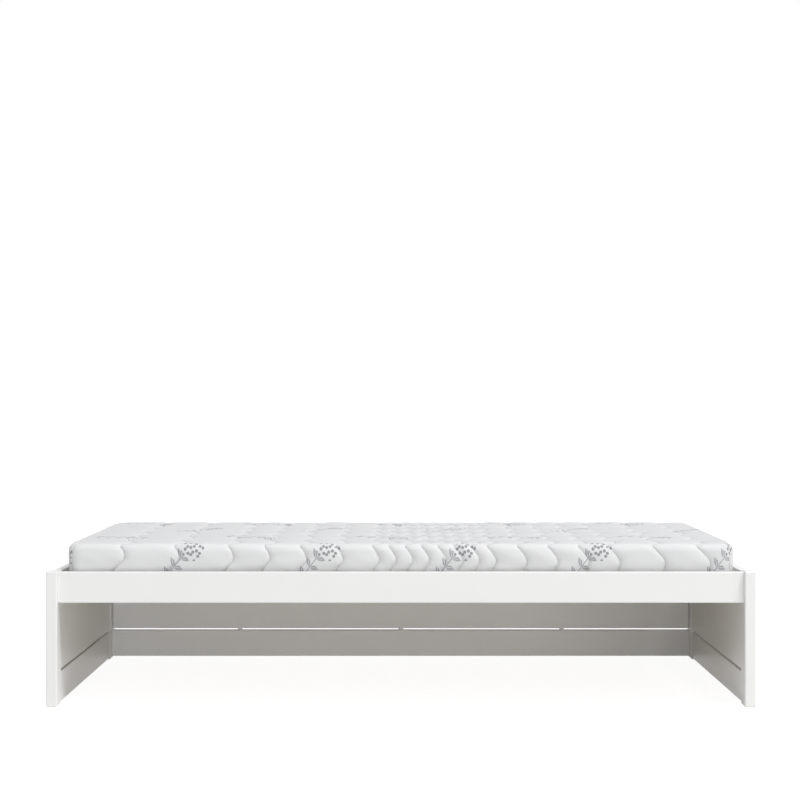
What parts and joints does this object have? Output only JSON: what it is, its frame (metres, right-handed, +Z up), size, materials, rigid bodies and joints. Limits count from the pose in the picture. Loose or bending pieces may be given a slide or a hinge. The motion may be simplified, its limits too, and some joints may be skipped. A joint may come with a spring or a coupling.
{
  "type": "floor bed",
  "caption": "Low single bed with solid end panels, a front rail, a closed back, a slatted deck and a quilted foam mattress, open underneath at the front.",
  "frame": {"origin": "on the floor, under the middle of the bed's overall box", "axes": "+X along the bed towards its right end, +Y from the open front to the closed back, +Z up"},
  "size_m": [2.07, 1.02, 0.4703],
  "materials": {
    "painted_frame": "satin",
    "painted_boards": "satin",
    "painted_dowel": "satin",
    "beech_dowel": "matte",
    "plywood": "matte",
    "ledger_wood": "satin",
    "slat_wood": "matte",
    "webbing": "matte",
    "steel_bolts": "satin",
    "steel_nuts": "satin",
    "quilted_cover": "matte",
    "foam": "matte",
    "base_fabric": "matte"
  },
  "bodies": {
    "root": {"back_board_bolts": "steel_bolts", "back_board_dowels": "beech_dowel", "back_board_nuts": "steel_nuts", "back_gap_dowels": "painted_dowel", "back_lower_board": "painted_boards", "back_upper_board": "painted_boards", "front_ledger": "ledger_wood", "front_rail": "painted_frame", "front_rail_bolts": "steel_bolts", "front_rail_nuts": "steel_nuts", "front_slat_tape": "webbing", "left_board_tongues": "plywood", "left_end_lower_board": "painted_boards", "left_end_upper_board": "painted_boards", "left_front_post": "painted_frame", "left_gap_dowels": "painted_dowel", "left_rear_post": "painted_frame", "rear_ledger": "ledger_wood", "rear_slat_tape": "webbing", "right_board_tongues": "plywood", "right_end_lower_board": "painted_boards", "right_end_upper_board": "painted_boards", "right_front_post": "painted_frame", "right_gap_dowels": "painted_dowel", "right_rear_post": "painted_frame", "slat_01": "slat_wood", "slat_02": "slat_wood", "slat_03": "slat_wood", "slat_04": "slat_wood", "slat_05": "slat_wood", "slat_06": "slat_wood", "slat_07": "slat_wood", "slat_08": "slat_wood", "slat_09": "slat_wood", "slat_10": "slat_wood", "slat_11": "slat_wood", "slat_12": "slat_wood", "slat_13": "slat_wood", "slat_14": "slat_wood", "slat_15": "slat_wood"},
    "mattress": {"mattress_cover": "quilted_cover", "mattress_core": "foam", "mattress_base_panel": "base_fabric"}
  },
  "joints": [
    {"name": "mattress_lift", "type": "slide", "parent": "root", "child": "mattress", "axis": [0, 0, 1], "range_m": [0, 0.35]}
  ]
}
